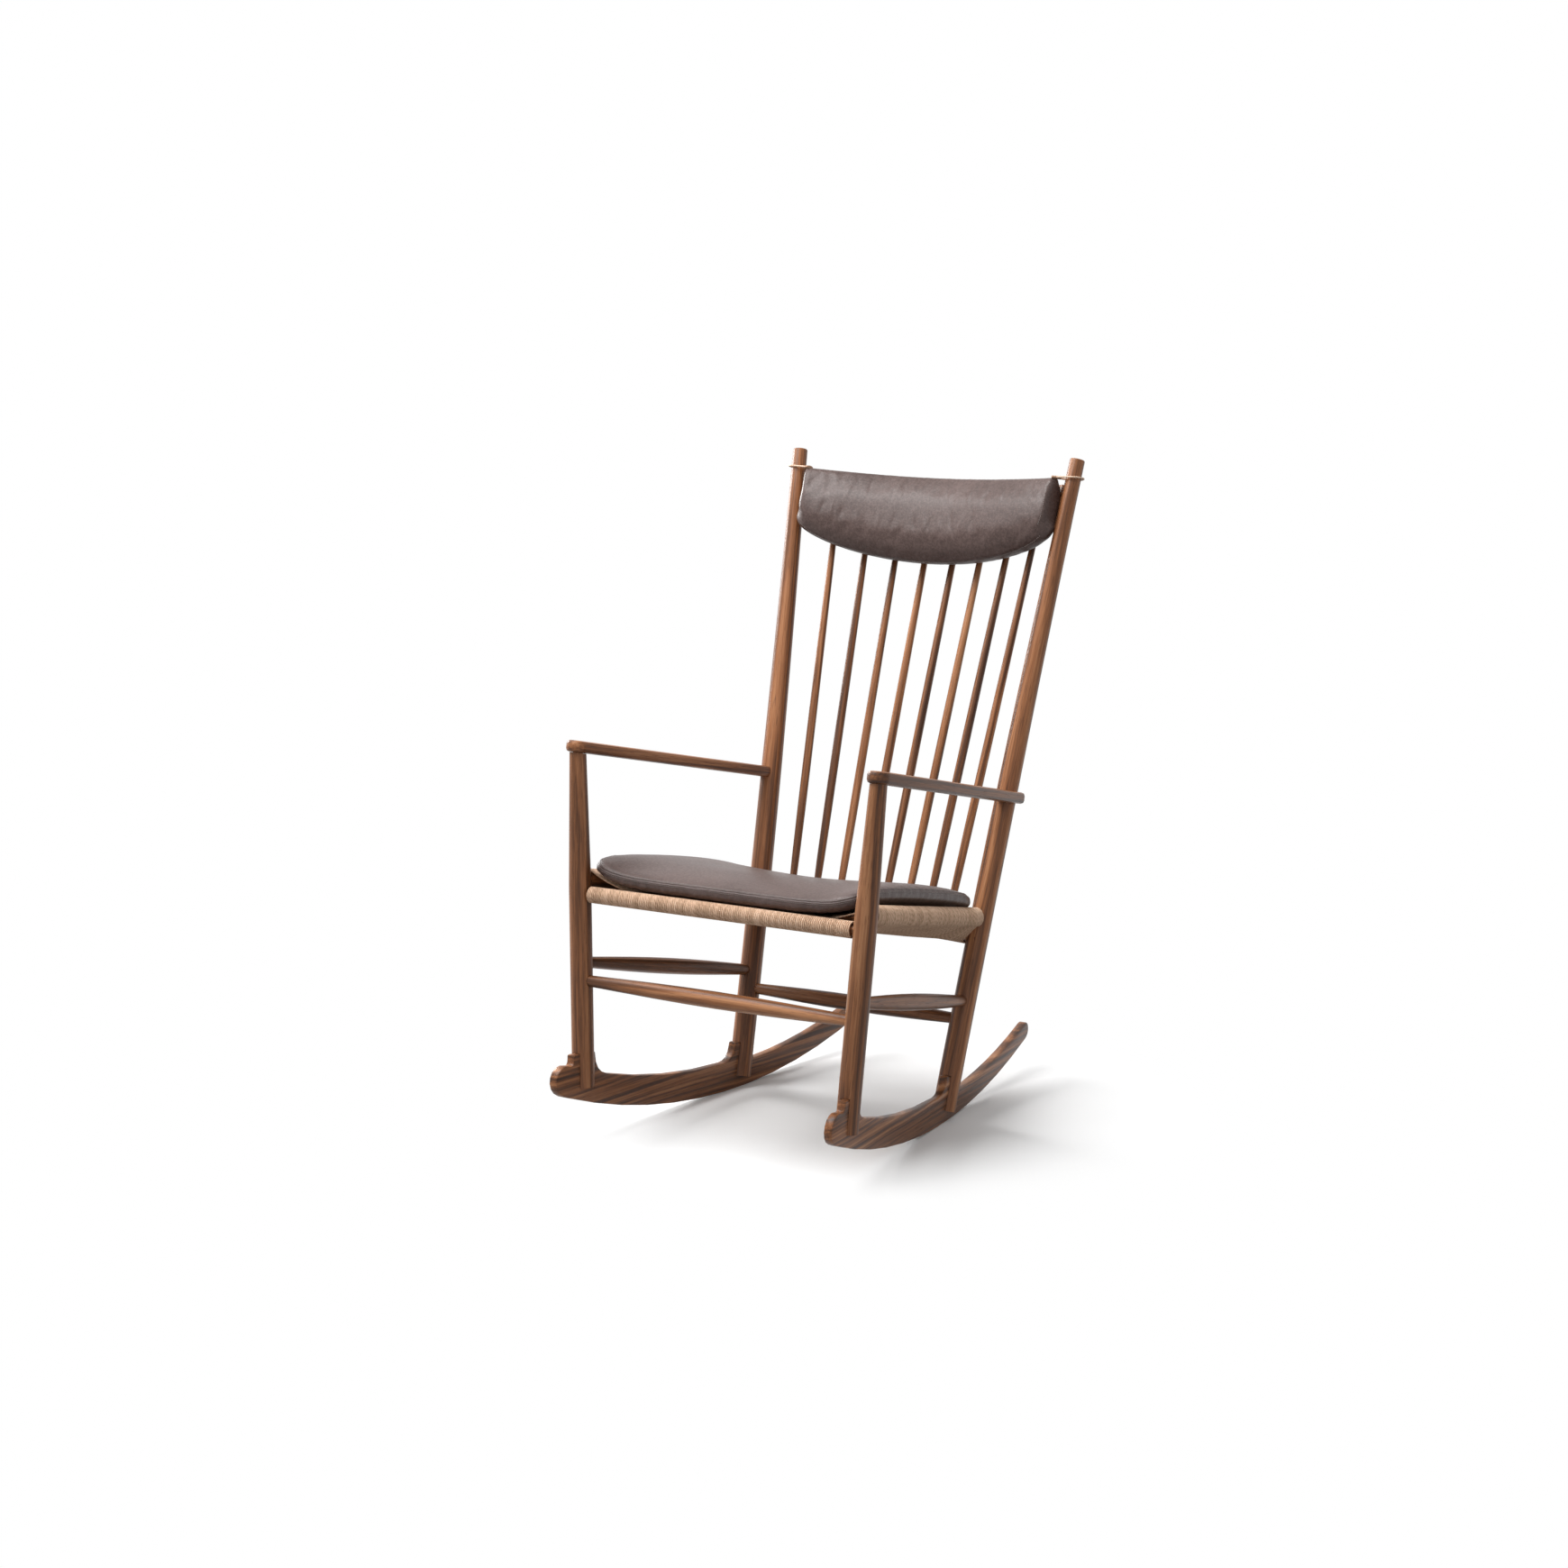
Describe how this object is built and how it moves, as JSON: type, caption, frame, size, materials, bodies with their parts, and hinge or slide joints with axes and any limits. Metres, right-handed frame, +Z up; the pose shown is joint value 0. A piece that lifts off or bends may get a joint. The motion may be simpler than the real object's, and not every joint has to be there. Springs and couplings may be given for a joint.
{
  "type": "rocking chair",
  "caption": "Wooden rocking chair with a tall spindle back, slim flat arms, a woven cord seat and loose leather seat and neck cushions.",
  "frame": {"origin": "on the floor, under the middle of the overall box", "axes": "+Z up, the chair faces -Y, +X is the sitter's left"},
  "size_m": [0.589, 0.8525, 1.073],
  "materials": {
    "walnut": "satin",
    "cord": "matte",
    "leather": "satin",
    "lace": "matte"
  },
  "bodies": {
    "frame": {"rocker_left": "walnut", "rocker_right": "walnut", "front_leg_left": "walnut", "front_leg_right": "walnut", "back_post_left": "walnut", "back_post_right": "walnut", "front_stretcher": "walnut", "back_stretcher": "walnut", "side_stretcher_left": "walnut", "side_stretcher_right": "walnut", "front_seat_rail": "walnut", "back_seat_rail": "walnut", "side_seat_rail_left": "walnut", "side_seat_rail_right": "walnut", "armrest_left": "walnut", "armrest_right": "walnut", "arm_dowel_left": "walnut", "arm_dowel_right": "walnut", "crest_rail": "walnut", "spindle_1": "walnut", "spindle_2": "walnut", "spindle_3": "walnut", "spindle_4": "walnut", "spindle_5": "walnut", "spindle_6": "walnut", "spindle_7": "walnut", "spindle_8": "walnut", "woven_seat": "cord"},
    "seat_cushion": {"seat_cushion": "leather"},
    "neck_cushion": {"neck_cushion": "leather", "neck_loop_left": "lace", "neck_loop_right": "lace"}
  },
  "joints": [
    {"name": "seat_cushion_lift", "type": "slide", "parent": "frame", "child": "seat_cushion", "axis": [0, 0, 1], "range_m": [0, 0.1]},
    {"name": "neck_cushion_lift", "type": "slide", "parent": "frame", "child": "neck_cushion", "axis": [0, 0.2871, 0.9579], "range_m": [0, 0.06]}
  ]
}
